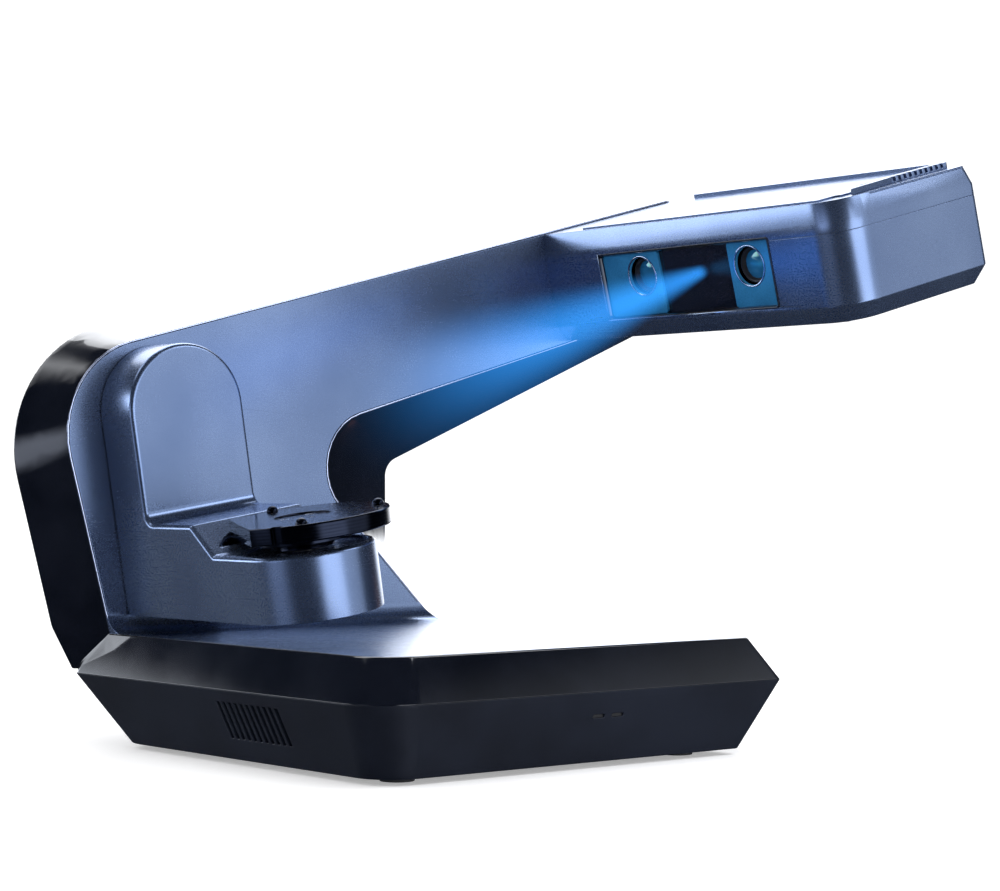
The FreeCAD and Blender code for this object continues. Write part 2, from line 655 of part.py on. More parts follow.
# ---------------------------------------------------------------- scanning head
def head_outline(d, back):
    """Head outline in t, y with the three free sides moved in by d."""
    return [(HEAD_T0 + d, HEAD_FRONT + d, max(HEAD_CORNER_R - 0.6 * d, 1)), (HEAD_T1 - d, HEAD_FRONT + d, 5),
            (HEAD_T1 - d, back, 0), (HEAD_T0 + d, back, 0)]


def head_level(d, n, back=0.0):
    return xy_wire(head_outline(d, back), n)


def head_lower_shell():
    floor, crease, seam = HEAD_N[:3]
    outer = loft(head_level(FLOOR_BEVEL, floor), head_level(0, crease), head_level(0, seam))
    inner = loft(head_level(FLOOR_BEVEL + WALL * 0.5, floor + WALL, 1), head_level(WALL, crease, 1),
                 head_level(WALL, seam + 1, 1))
    shell = outer.cut(inner).cut(window_cut())
    for x, y in head_screw_spots():
        shell = shell.cut(rod(1.7, (x, y, floor - 1), (x, y, floor + WALL + 1)))
    return in_body(shell)


def head_upper_shell():
    seam, crease, rim = HEAD_N[2:]
    outer = loft(head_level(0, seam), head_level(0, crease), head_level(RIM_BEVEL, rim))
    inner = loft(head_level(WALL, seam - 1, 1), head_level(WALL, crease, 1), head_level(RIM_BEVEL + WALL, rim - WALL, 1))
    shell = outer.cut(inner).cut(window_cut())
    groove = box(208, HEAD_T1 - 3, HEAD_FRONT - 1, HEAD_FRONT + RIM_BEVEL + 0.7, rim - 1.1, rim - 0.4)
    return in_body(shell.cut(groove).cut(Part.makeCompound(top_vents())))


def window_cut():
    corners = [(WINDOW_Y[0], WINDOW_N[0], 1.5), (WINDOW_Y[1], WINDOW_N[0], 1.5),
               (WINDOW_Y[1], WINDOW_N[1], 1.5), (WINDOW_Y[0], WINDOW_N[1], 1.5)]
    return prism(rounded_wire(corners, lambda p: V(HEAD_T0 - 5, p.x, p.y)), V(12, 0, 0))


def top_vents():
    """Air slots through the head's top, behind the slotted rail."""
    return [box(237 + 4.4 * i, 239.4 + 4.4 * i, -211, -196, 78, 90) for i in range(10)]


def top_rail():
    """Raised edge along the front and right of the top cover, slotted at the front."""
    n0, n1 = HEAD_N[4], HEAD_N[4] + 3.4
    front = [(199, -228, 0), (236, -224, 0), (284, -224, 2), (284, -218, 0), (234, -218, 0)]
    rail = prism(xy_wire(front, n0), V(0, 0, n1 - n0)).fuse(box(279, 284, -222, -30, n0, n1))
    slots = []
    for i in range(10):
        t = 238.0 + 4.4 * i
        corners = [(t, n0 + 0.6, 0), (t + 2.2, n0 + 0.6, 0), (t + 1.4, n1 + 1, 0), (t - 0.8, n1 + 1, 0)]
        slots.append(prism(xz_wire(corners, -226), V(0, 5.5, 0)))
    return rail.cut(Part.makeCompound(slots))


def head_top_panel():
    """Thin cover on top of the head with its raised edge; open over the air slots."""
    rim = HEAD_N[4]
    cover = box(186, 284, -216, -30, rim, rim + 1.0)
    cover = cover.cut(Part.makeCompound(top_vents()))
    return in_body(cover.fuse(box(200, 284, -220, -216, rim, rim + 1.0)).fuse(top_rail()).removeSplitter())


def window_frame():
    """Glossy tray set into the window opening, open towards the turntable and behind the lenses."""
    def level(d, t):
        corners = [(WINDOW_Y[0] + d, WINDOW_N[0] + d, 1.5), (WINDOW_Y[1] - d, WINDOW_N[0] + d, 1.5),
                   (WINDOW_Y[1] - d, WINDOW_N[1] - d, 1.5), (WINDOW_Y[0] + d, WINDOW_N[1] - d, 1.5)]
        return rounded_wire(corners, lambda p: V(t, p.x, p.y))
    t0 = HEAD_T0 - 0.5
    outer = loft(level(0.05, t0), level(0.05, t0 + 14))
    inner = loft(level(1.0, t0 - 0.01), level(1.8, t0 + 1.5), level(1.8, t0 + 12.5))
    tray = outer.cut(inner)
    tray = tray.cut(rod(10, (t0, PROJECTOR_Y, LENS_N), (t0 + 20, PROJECTOR_Y, LENS_N)))
    for y in LENS_Y:
        tray = tray.cut(rod(LENS_HOLE_R + 0.5, (t0, y, LENS_N), (t0 + 20, y, LENS_N)))
    return in_body(tray)


def lens_plates():
    plates = []
    for (y0, y1), y in zip(PLATE_SPANS, LENS_Y):
        lo = max(y0, WINDOW_Y[0] + 1.8)
        hi = min(y1, WINDOW_Y[1] - 1.8)
        corners = [(lo, WINDOW_N[0] + 1.8, 1.6), (hi, WINDOW_N[0] + 1.8, 1.6),
                   (hi, WINDOW_N[1] - 1.8, 1.6), (lo, WINDOW_N[1] - 1.8, 1.6)]
        plate = prism(rounded_wire(corners, lambda p: V(181, p.x, p.y)), V(2, 0, 0))
        plate = plate.cut(Part.makeCone(LENS_HOLE_R + 1, LENS_HOLE_R, 1.2, V(180.9, y, LENS_N), V(1, 0, 0)))
        plates.append(plate.cut(rod(LENS_HOLE_R, (180, y, LENS_N), (184, y, LENS_N))))
    return in_body(Part.makeCompound(plates))


def window_glass():
    y0, y1 = PLATE_SPANS[0][1], PLATE_SPANS[1][0]
    pane = box(183.2, 184.4, y0 - 3, y1 + 3, WINDOW_N[0] + 1.8, WINDOW_N[1] - 1.8)
    return in_body(pane)


def camera_bodies():
    one = box(200, 240, -14.5, 14.5, LENS_N - 14.5, LENS_N + 14.5)
    ribs = [box(210 + 5 * i, 212 + 5 * i, -15, 15, LENS_N + 13, LENS_N + 15.2) for i in range(5)]
    one = one.cut(Part.makeCompound(ribs))
    return in_body(Part.makeCompound([at(one, 0, y, 0) for y in LENS_Y]))


def camera_barrels():
    """Lens barrels with stepped focus rings and a hollow front."""
    n = LENS_N
    tube = joined([rod(10.2, (184.6, 0, n), (191, 0, n)), rod(9.4, (191, 0, n), (194, 0, n)),
                   rod(10.2, (194, 0, n), (200, 0, n))])
    tube = tube.cut(Part.makeCone(9.0, 6.0, 4.5, V(184.5, 0, n), V(1, 0, 0)))
    tube = tube.cut(rod(6.0, (188, 0, n), (193, 0, n)))
    return in_body(Part.makeCompound([at(tube, 0, y, 0) for y in LENS_Y]))


def camera_lenses():
    """Front elements, domed towards the turntable."""
    n = LENS_N
    ball = Part.makeSphere(12, V(200.4, 0, n)).common(rod(6.0, (188, 0, n), (193, 0, n)))
    return in_body(Part.makeCompound([at(ball, 0, y, 0) for y in LENS_Y]))


def projector_body():
    n = LENS_N
    body = box(200, 262, PROJECTOR_Y - 20, PROJECTOR_Y + 20, 40, 71)
    fins = [box(222 + 5 * i, 224.5 + 5 * i, PROJECTOR_Y - 21, PROJECTOR_Y + 21, 64, 72) for i in range(8)]
    barrel = rod(9.6, (189, PROJECTOR_Y, n), (201, PROJECTOR_Y, n))
    body = body.cut(Part.makeCompound(fins)).fuse(barrel)
    return in_body(body.cut(rod(7.5, (188, PROJECTOR_Y, n), (195, PROJECTOR_Y, n))))


def projector_lens():
    n = LENS_N
    ball = Part.makeSphere(14, V(203.5, PROJECTOR_Y, n)).common(rod(7.5, (188, PROJECTOR_Y, n), (195, PROJECTOR_Y, n)))
    return in_body(ball)


def head_screw_spots():
    return [(200, -210), (265, -210), (200, -20), (265, -20)]


def head_screws():
    one = screw(3.2, 1.8, 1.65, 9)
    return in_body(Part.makeCompound([at(one, x, y, HEAD_N[0]) for x, y in head_screw_spots()]))


# ---------------------------------------------------------------- output
def save(name, shape):
    shape.exportStep(os.path.join("parts", name + ".step"))
    print(name, len(shape.Solids), shape.isValid())


def build():
    os.makedirs("parts", exist_ok=True)
    cover, band = front_pieces()
    save("front_cover", cover)
    save("gloss_band", band)
    for piece in (rear_shell, base_tray, rubber_feet, tray_screws, chassis_plate, main_board, power_inlet,
                  switch_housing, switch_rocker, data_port, status_lights, tilt_housing, tilt_bearings,
                  tilt_motor, tilt_pinion, tilt_gear, tilt_shaft, tilt_bracket, bracket_cover, bracket_screws,
                  turntable_motor, turntable_plate, plate_screws, locating_pins, turntable_hub, turntable_shaft,
                  head_lower_shell, head_upper_shell, head_top_panel, window_frame, lens_plates, window_glass,
                  camera_bodies, camera_barrels, camera_lenses, projector_body, projector_lens, head_screws):
        save(piece.__name__, piece())
    save("optical_bench", bench_and_blocks())
    save("base_fan_frame", base_fan(fan_frame(30, 8)))
    save("base_fan_rotor", base_fan(fan_rotor(30, 8)))
    save("head_fan_frame", head_fan(fan_frame(40, 10)))
    save("head_fan_rotor", head_fan(fan_rotor(40, 10)))


build()
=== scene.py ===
"""Desktop 3-D scanner with a leaning arm, a scanning head and a tilting turntable."""

import math

import bmesh
import bpy
from bpy.props import FloatProperty, FloatVectorProperty, IntProperty, PointerProperty
from mathutils import Matrix, Vector


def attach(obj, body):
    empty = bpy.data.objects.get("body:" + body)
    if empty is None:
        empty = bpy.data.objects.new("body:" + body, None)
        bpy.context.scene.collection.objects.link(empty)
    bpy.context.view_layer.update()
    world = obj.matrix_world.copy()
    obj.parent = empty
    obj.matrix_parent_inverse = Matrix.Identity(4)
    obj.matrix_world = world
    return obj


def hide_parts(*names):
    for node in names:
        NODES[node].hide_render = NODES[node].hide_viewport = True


bl_info = {
    "name": "Desktop Scanner",
    "version": (1, 0, 0),
    "blender": (4, 5, 0),
    "location": "3D View > Sidebar > Scanner",
    "description": "Finishes, optics, trims and studio for a desktop 3-D scanner",
    "category": "Object",
}

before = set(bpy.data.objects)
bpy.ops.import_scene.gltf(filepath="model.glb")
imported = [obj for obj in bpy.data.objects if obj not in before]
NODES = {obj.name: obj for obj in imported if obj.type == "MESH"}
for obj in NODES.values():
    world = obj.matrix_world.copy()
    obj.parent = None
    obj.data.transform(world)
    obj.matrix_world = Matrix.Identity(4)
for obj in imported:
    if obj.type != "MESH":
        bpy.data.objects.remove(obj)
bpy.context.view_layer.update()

# ---------------------------------------------------------------- places and sizes
# Lengths are in metres. A leaning frame has t or u along its lean, y across and n or w up.
# The body's frame is for column, arm and head, the bracket's for the turntable.
BODY_ORIGIN, BODY_LEAN = Vector((0.0187, 0.084, 0.15425)), math.radians(14.7)
BRACKET_ORIGIN, BRACKET_LEAN = Vector((-0.0918, 0.084, 0.17405)), math.radians(9.1)
SPIN_Y = -0.1195                                    # turntable's axis

# Front rim of column and arm: its straight sides in the body's frame, the seam's height,
# and the x and z of the corners below the arm.
PLATE_Y = 0.084
COLUMN_T, ARM_END_T = -0.158, 0.291
ARM_UNDERSIDE_N, TOP_N = 0.021, 0.086
SEAM_Z = 0.0585
TOE, HEEL, CROOK = (0.0917, SEAM_Z), (0.0517, 0.0985), (-0.0095, 0.1597)
ARM_END_RADIUS, CROOK_RADIUS, SHOULDER_RADIUS = 0.008, 0.03, 0.05
CORNER_STEPS = 10
SMALLEST_RADIUS = 0.0004

# Section of the bright rim strip that paints the highlight on the plate's edge, as (inset, depth):
# its outer side, and its inner side past the rim's width.
RIM_OUTER = [(0.0002, 0.0006), (0.0, 0.0003), (0.0004, 0.0)]
RIM_INNER = [(0.0002, -0.0001), (0.0004, 0.0001)]

# Window in the head's inner end, and the bright lines that paint the highlight on its corner.
WINDOW_T, WINDOW_Y, WINDOW_N = 0.179, (-0.182, -0.046), (0.031, 0.070)
WINDOW_HIGHLIGHT_WIDTH, WINDOW_HIGHLIGHT_DEPTH, WINDOW_HIGHLIGHT_PROUD = 0.0007, 0.0008, 0.0006

# Optics behind the window: where their faces are, and their profiles as (radius, depth).
LENS_Y, PROJECTOR_Y, LENS_N = (-0.163, -0.078), -0.1205, 0.055
BEZEL_T, BARREL_T, PROJECTOR_T = 0.181, 0.1846, 0.189
BEZEL = [(0.0106, 0.0), (0.0117, 0.0), (0.0116, -0.0003), (0.0113, -0.00045), (0.0108, -0.0004)]
# Lens barrel: two focus rings outside, then stepped baffles inside from the back to the mouth.
BARREL = [
    (0.0086, 0.0), (0.0098, 0.0), (0.0102, 0.0005), (0.0102, 0.0064), (0.0094, 0.0066),
    (0.0094, 0.0092), (0.0102, 0.0094), (0.0102, 0.0154), (0.0062, 0.0154), (0.0062, 0.0046),
    (0.0068, 0.0044), (0.0068, 0.0036), (0.0074, 0.0034), (0.0074, 0.0026), (0.0080, 0.0024),
    (0.0080, 0.0014), (0.0086, 0.0012),
]
DOME_STEPS = 12

# Projected light: where it starts from the window and the projector's axis, the height over
# the tilt axis that it points at, its first radius, its widening, its reach, the lengths over
# which it comes up and fades, and how much its glow is spread.
BEAM_OUT, BEAM_ASIDE, BEAM_TARGET_W = 0.004, -0.008, -0.020
BEAM_START, BEAM_FLARE, BEAM_LENGTH = 0.004, 0.20, 0.30
BEAM_COMES_UP, BEAM_FADES = (0.0, 0.006), (0.10, 0.26)
BEAM_SPREADING = 28.0

# Light that reflections see, by direction in degrees: turn from the front towards the right,
# and rise over the horizon. Each patch has (from, to, softness) of both, a tint and a strength.
PATCHES = [
    ((22, 56, 6), (-30, 21, 8), (1.00, 1.05, 1.13), 0.98),         # front, to the right
    ((-14, 23, 5), (-40, 16, 6), (1.00, 1.05, 1.15), 2.8),         # front
    ((112, 185, 10), (-3, 90, 4), (1.00, 1.02, 1.06), 2.6),        # whole right back
    ((-176, -118, 9), (-40, -2, 4), (1.00, 1.04, 1.10), 0.10),     # left back, below
    ((-176, -118, 9), (1, 14, 3), (1.00, 1.06, 1.16), 4.5),        # left back, strip
    ((-104, -74, 9), (-14, 4, 6), (1.00, 1.10, 1.35), 1.30),       # left
]
HOOP_BEGINS, HOOP_RISE = (100, 124), (38, 62, 4)    # high hoop of light round the back
HOOP_TINT, HOOP_STRENGTH = (1.00, 1.02, 1.06), 2.1
DIM = (0.020, 0.027, 0.046)                         # what is left between the patches
DEGREES = math.degrees(1.0)
FLOOR_HALF = 14.0
SENSOR_WIDTH = 36.0                                 # in millimetres


def leaning(origin, lean):
    """Matrix from a leaning frame to the world."""
    return Matrix.Translation(origin) @ Matrix.Rotation(-lean, 4, "Y")


IN_BODY = leaning(BODY_ORIGIN, BODY_LEAN)
IN_BRACKET = leaning(BRACKET_ORIGIN, BRACKET_LEAN)


# ---------------------------------------------------------------- shader expressions
class Val:
    """A shader output that takes part in Python expressions."""

    def __init__(self, graph, socket):
        self.graph = graph
        self.socket = socket

    def math(self, operation, *others):
        operands = dict(enumerate((self, *others)))
        return self.graph.node("ShaderNodeMath", {"operation": operation}, operands)

    def __add__(self, other):
        return self.math("ADD", other)

    def __sub__(self, other):
        return self.math("SUBTRACT", other)

    def __rsub__(self, other):
        return self.graph.node("ShaderNodeMath", {"operation": "SUBTRACT"}, {0: other, 1: self})

    def __mul__(self, other):
        return self.math("MULTIPLY", other)

    def __truediv__(self, other):
        return self.math("DIVIDE", other)

    def __pow__(self, other):
        return self.math("POWER", other)

    __radd__ = __add__
    __rmul__ = __mul__

    def ramp(self, low, high, to_low=0.0, to_high=1.0):
        """Smooth step of this value from low..high to to_low..to_high."""
        spans = {"Value": self, "From Min": low, "From Max": high,
                 "To Min": to_low, "To Max": to_high}
        return self.graph.node("ShaderNodeMapRange", {"interpolation_type": "SMOOTHSTEP"}, spans)

    def within(self, low, high, soft):
        """One between low and high, nothing outside them, with soft ends."""
        return self.ramp(low - soft, low + soft) * self.ramp(high - soft, high + soft, 1.0, 0.0)

    def part(self, axis):
        """One component of a vector output."""
        return self.graph.node("ShaderNodeSeparateXYZ", {}, {0: self}, output=axis)


class Graph:
    """A node tree that is filled by one method."""

    def __init__(self, tree):
        self.tree = tree
        tree.nodes.clear()

    def node(self, kind, settings, inputs, output=0):
        """Add a node: settings first, then the values or links of its sockets."""
        made = self.tree.nodes.new(kind)
        for key, value in settings.items():
            setattr(made, key, value)
        for key, value in inputs.items():
            socket = made.inputs[key]
            if isinstance(value, Val):
                self.tree.links.new(value.socket, socket)
            else:
                socket.default_value = value
        return Val(self, made.outputs[output]) if made.outputs else made

    def place(self):
        """Where a point is on its piece, in metres."""
        return self.node("ShaderNodeTexCoord", {}, {}, output="Object")

    def vector(self, operation, *operands, output=0):
        return self.node("ShaderNodeVectorMath", {"operation": operation},
                         dict(enumerate(operands)), output)

    def stretched(self, x, y, z):
        """Place scaled apart along the three axes, for brushed and turned marks."""
        return self.vector("MULTIPLY", self.place(), (x, y, z))

    def noise(self, scale, detail=2.0, roughness=0.5, vector=None):
        inputs = {"Vector": vector or self.place(), "Scale": scale,
                  "Detail": detail, "Roughness": roughness}
        return self.node("ShaderNodeTexNoise", {}, inputs)

    def cells(self, scale, output="Distance"):
        inputs = {"Vector": self.place(), "Scale": scale}
        return self.node("ShaderNodeTexVoronoi", {}, inputs, output)

    def blend(self, mask, low, high):
        """Colour that goes from low to high with the mask."""
        low, high = (c if isinstance(c, Val) else (*c, 1.0) for c in (low, high))
        return self.node("ShaderNodeMix", {"data_type": "RGBA"}, {0: mask, 6: low, 7: high},
                         output=2)

    def bump(self, height, distance):
        return self.node("ShaderNodeBump", {}, {"Height": height, "Distance": distance})

    def emission(self, colour, strength):
        inputs = {"Color": (*colour, 1.0), "Strength": strength}
        return self.node("ShaderNodeEmission", {}, inputs)

    def surface(self, **inputs):
        """Principled surface; an underscore in a name stands for a space."""
        named = {key.replace("_", " "): value for key, value in inputs.items()}
        shader = self.node("ShaderNodeBsdfPrincipled", {}, named)
        self.node("ShaderNodeOutputMaterial", {}, {"Surface": shader})


def finish(name):
    """New material and its empty graph."""
    material = bpy.data.materials.new(name)
    material.use_nodes = True
    return material, Graph(material.node_tree)


# ---------------------------------------------------------------- finishes
# Scales are in features per metre, bump distances in metres.
def satin_shell(settings):
    """Metallic satin lacquer: fine flakes, slight cloudiness, soft orange peel."""
    material, g = finish("satin lacquer")
    cloud = g.noise(14.0, detail=3.0)
    flake = g.cells(2600.0, "Color").part(0)
    scuff = g.noise(1.0, detail=4.0, roughness=0.6, vector=g.stretched(60.0, 60.0, 900.0))
    mask = (cloud * 0.90 + flake * 0.10).ramp(0.15, 0.85)
    rough = (settings.shell_roughness + (cloud - 0.5) * 0.04 + (flake - 0.5) * 0.015
             + (scuff - 0.5) * 0.015)
    g.surface(Base_Color=g.blend(mask, settings.shell_deep, settings.shell_pale), Metallic=0.92,
              Roughness=rough, Coat_Weight=0.2, Coat_Roughness=0.1,
              Normal=g.bump(g.noise(60.0, detail=1.0), 12e-6))
    return material


def gloss_black(settings):
    """Polished piano lacquer with faint haze and hairline swirls."""
    material, g = finish("gloss lacquer")
    haze = g.noise(22.0, detail=4.0, roughness=0.6)
    hair = g.noise(1.0, vector=g.stretched(2200.0, 90.0, 160.0)).ramp(0.62, 0.80)
    colour = g.blend(haze.ramp(0.3, 0.7), settings.gloss_deep, settings.gloss_pale)
    g.surface(Base_Color=colour, Roughness=haze.ramp(0.3, 0.8, 0.06, 0.13) + hair * 0.05, IOR=1.52,
              Coat_Weight=0.8, Coat_Roughness=0.03, Normal=g.bump(g.noise(90.0), 8e-6))
    return material


def dark_shell(settings):
    """Moulded dark navy shell with a fine spark-eroded grain."""
    material, g = finish("moulded navy")
    grain = g.cells(2600.0)
    cloud = g.noise(18.0, detail=3.0)
    colour = g.blend(cloud.ramp(0.3, 0.7), settings.moulded_deep, settings.moulded_pale)
    rough = 0.36 + grain * 0.12 + (cloud - 0.5) * 0.06
    g.surface(Base_Color=colour, Metallic=0.35, Roughness=rough, IOR=1.5,
              Normal=g.bump(grain, 40e-6))
    return material


def speckled(name, deep, pale, roughness, grain_scale, grain_depth, metallic=0.0):
    """A moulded or cast surface: two close colours, uneven gloss and a grain."""
    material, g = finish(name)
    cloud = g.noise(40.0, detail=4.0, roughness=0.6)
    grain = g.noise(grain_scale, detail=3.0, roughness=0.6)
    colour = g.blend((cloud * 0.5 + grain * 0.5).ramp(0.3, 0.7), deep, pale)
    rough = roughness + (cloud - 0.5) * 0.12 + (grain - 0.5) * 0.1
    g.surface(Base_Color=colour, Metallic=metallic, Roughness=rough,
              Normal=g.bump(grain, grain_depth))
    return material


def machined(name, deep, pale, roughness, centre, axis):
    """Turned metal: fine rings round an axis through centre, with tool chatter."""
    material, g = finish(name)
    offset = g.vector("SUBTRACT", g.place(), centre)
    along = g.vector("DOT_PRODUCT", offset, axis, output="Value")
    length = g.vector("LENGTH", offset, output="Value")
    radius = (length * length - along * along).math("MAXIMUM", 0.0).math("SQRT")
    rings = (radius * 9000.0 + along * 4000.0).math("SINE") * 0.5 + 0.5
    chatter = g.noise(300.0, detail=3.0)
    colour = g.blend(rings * 0.5 + chatter * 0.5, deep, pale)
    rough = roughness + rings * 0.06 + (chatter - 0.5) * 0.08
    g.surface(Base_Color=colour, Metallic=1.0, Roughness=rough, Normal=g.bump(rings, 4e-6))
    return material


def circuit_board():
    """Green board with copper tracks under the mask and pale pads."""
    material, g = finish("circuit board")
    tracks = g.node("ShaderNodeTexBrick", {"offset": 0.5},
                    {"Vector": g.place(), "Scale": 90.0, "Mortar Size": 0.09}, output="Fac")
    pads = g.cells(180.0).ramp(0.16, 0.2, 1.0, 0.0)
    green = g.blend(tracks, (0.012, 0.075, 0.03), (0.03, 0.17, 0.06))
    g.surface(Base_Color=g.blend(pads, green, (0.55, 0.45, 0.22)), Metallic=pads * 0.8,
              Roughness=0.32 + tracks * 0.1, Normal=g.bump(tracks + pads, 60e-6))
    return material


def coated_glass(name, deep, pale, film):
    """Dark coated optical glass with a faint film, its thickness in nanometres."""
    material, g = finish(name)
    dust = g.noise(700.0, detail=3.0).ramp(0.6, 0.85)
    g.surface(Base_Color=g.blend(g.noise(60.0), deep, pale), Roughness=0.02 + dust * 0.06, IOR=1.7,
              Coat_Weight=1.0, Coat_Roughness=0.01, Thin_Film_Thickness=film, Thin_Film_IOR=1.38)
    return material


def glowing(name, colour, strength, dim):
    """Lit optic: its cells shimmer between dim and full."""
    material, g = finish(name)
    shimmer = g.noise(260.0).ramp(0.3, 0.7, dim, 1.0)
    tint = g.blend(shimmer, tuple(0.35 * c for c in colour), colour)
    g.surface(Base_Color=tint, Roughness=0.12, Emission_Color=tint, Emission_Strength=strength,
              Coat_Weight=1.0)
    return material


# ---------------------------------------------------------------- mesh helpers
def soften(width, *names):
    """Weld the facets of CAD nodes and round their edges with real geometry."""
    for name in names:
        weld = NODES[name].modifiers.new("weld", "WELD")
        weld.merge_threshold = 2e-6
        edge = NODES[name].modifiers.new("edges", "BEVEL")
        edge.width = width
        edge.segments = 2
        edge.limit_method = "ANGLE"
        edge.angle_limit = math.radians(28.0)
        edge.use_clamp_overlap = False
        edge.harden_normals = False
        edge.miter_outer = "MITER_ARC"
        shade = NODES[name].modifiers.new("shading", "WEIGHTED_NORMAL")
        shade.keep_sharp = False
        shade.weight = 80


def dress(material, *names):
    """Give CAD nodes one finish."""
    for name in names:
        slots = NODES[name].data.materials
        slots.clear()
        slots.append(material)


def put(item):
    """Link an object into the scene."""
    bpy.context.scene.collection.objects.link(item)


def mesh_from(name, build):
    """Mesh filled by a function that gets a bmesh."""
    bm = bmesh.new()
    build(bm)
    bmesh.ops.recalc_face_normals(bm, faces=bm.faces[:])
    mesh = bpy.data.meshes.new(name)
    bm.to_mesh(mesh)
    bm.free()
    for face in mesh.polygons:
        face.use_smooth = True
    return mesh


def new_piece(name, build, material, body):
    """Piece that rides on a body, its mesh filled by a function that gets a bmesh."""
    piece = bpy.data.objects.new(name, mesh_from(name, build))
    put(piece)
    piece.data.materials.append(material)
    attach(piece, body)
    return piece


def lathe(bm, profile, matrix, steps=72):
    """Turn a closed profile of (radius, height) round the Z axis of matrix."""
    turns = [2 * math.pi * i / steps for i in range(steps)]
    rings = []
    for radius, height in profile:
        points = [Vector((0, 0, height))]
        if radius > 0:
            points = [Vector((radius * math.cos(a), radius * math.sin(a), height)) for a in turns]
        rings.append([bm.verts.new(matrix @ point) for point in points])
    for lower, upper in zip(rings, rings[1:] + rings[:1]):
        join_rings(bm, lower, upper)


def join_rings(bm, lower, upper):
    """Faces between two rings, either of which may be one point on the axis."""
    count = max(len(lower), len(upper))
    if count == 1:
        return
    for i in range(count):
        j = (i + 1) % count
        corners = [lower[i % len(lower)], lower[j % len(lower)],
                   upper[j % len(upper)], upper[i % len(upper)]]
        bm.faces.new(list(dict.fromkeys(corners)))


def rounded(corners):
    """Points along a closed outline of (u, v, radius) corners."""
    points = []
    for i, (u, v, r) in enumerate(corners):
        p = Vector((u, v))
        if r == 0:
            points.append(p)
            continue
        before = (Vector(corners[i - 1][:2]) - p).normalized()
        after = (Vector(corners[(i + 1) % len(corners)][:2]) - p).normalized()
        half = before.angle(after) / 2
        cut = r / math.tan(half)
        centre = p + (before + after).normalized() * (r / math.sin(half))
        start, end = p + before * cut - centre, p + after * cut - centre
        sweep = start.angle_signed(end)
        for k in range(CORNER_STEPS + 1):
            points.append(centre + Matrix.Rotation(-sweep * k / CORNER_STEPS, 2) @ start)
    return points


def inset(corners, d):
    """Corners of a counter-clockwise outline moved inwards by d."""
    moved = []
    for i, (u, v, r) in enumerate(corners):
        p = Vector((u, v))
        before = (p - Vector(corners[i - 1][:2])).normalized()
        after = (Vector(corners[(i + 1) % len(corners)][:2]) - p).normalized()
        n0, n1 = Vector((-before.y, before.x)), Vector((-after.y, after.x))
        q = p + (n0 + n1) * (d / (1 + n0.dot(n1)))
        outer = before.cross(after) > 0
        moved.append((q.x, q.y, r and max(r - d if outer else r + d, SMALLEST_RADIUS)))
    return moved


def body_xz(t, n):
    """World x and z of a place in the body's frame."""
    p = IN_BODY @ Vector((t, 0, n))
    return p.x, p.z


def column_x(t, z):
    """World x where the column's edge at t reaches height z."""
    n = (z - BODY_ORIGIN.z - t * math.sin(BODY_LEAN)) / math.cos(BODY_LEAN)
    return body_xz(t, n)[0]


def plate_outline():
    """Front rim of column and arm, counter-clockwise from the seam's left end."""
    return [
        (column_x(COLUMN_T, SEAM_Z), SEAM_Z, 0),
        (*TOE, 0),
        (*HEEL, 0),
        (*CROOK, CROOK_RADIUS),
        (*body_xz(ARM_END_T, ARM_UNDERSIDE_N), ARM_END_RADIUS),
        (*body_xz(ARM_END_T, TOP_N), ARM_END_RADIUS),
        (*body_xz(COLUMN_T, TOP_N), SHOULDER_RADIUS),
    ]


def rim_highlight_build(width):
    """Builder of the bright line that paints the highlight along the plate's edge, open along the
    seam.
    """
    levels = RIM_OUTER + [(width + d, depth) for d, depth in RIM_INNER]

    def build(bm):
        loops = []
        for d, depth in levels:
            points = rounded(inset(plate_outline(), d))
            loops.append([bm.verts.new((p.x, PLATE_Y + depth, p.y)) for p in points])
        for a, b in zip(loops, loops[1:]):
            for i in range(1, len(a)):
                j = (i + 1) % len(a)
                bm.faces.new((a[i], a[j], b[j], b[i]))

    return build


def optic_build(profile, t, places, steps):
    """Builder that turns one profile at places across the head, facing the window."""
    def build(bm):
        for y in places:
            facing = Matrix.Translation((t, y, LENS_N)) @ Matrix.Rotation(math.radians(90), 4, "Y")
            lathe(bm, profile, IN_BODY @ facing, steps)

    return build


def dome(ball, radius, front, back):
    """Profile of a glass element whose front is part of a ball."""
    arc = []
    for i in range(DOME_STEPS + 1):
        r = radius * i / DOME_STEPS
        arc.append((r, front + ball - math.sqrt(ball * ball - r * r)))
    return arc + [(radius, back), (0.0, back)]


def build_window_highlight_lines(bm):
    """Bright lines that paint the highlight along the far side and the bottom of the window."""
    t0 = WINDOW_T - WINDOW_HIGHLIGHT_PROUD
    t1 = t0 + WINDOW_HIGHLIGHT_DEPTH
    (y0, y1), (n0, n1) = WINDOW_Y, WINDOW_N
    bars = [((t0, y0, n0), (t1, y1, n0 + WINDOW_HIGHLIGHT_WIDTH)),
            ((t0, y1 - WINDOW_HIGHLIGHT_WIDTH, n0 + WINDOW_HIGHLIGHT_WIDTH), (t1, y1, n1))]
    for low, high in bars:
        made = bmesh.ops.create_cube(bm, size=1.0)["verts"]
        middle, size = (Vector(low) + Vector(high)) / 2, Vector(high) - Vector(low)
        matrix = IN_BODY @ Matrix.Translation(middle) @ Matrix.Diagonal((*size, 1.0))
        bmesh.ops.transform(bm, matrix=matrix, verts=made)


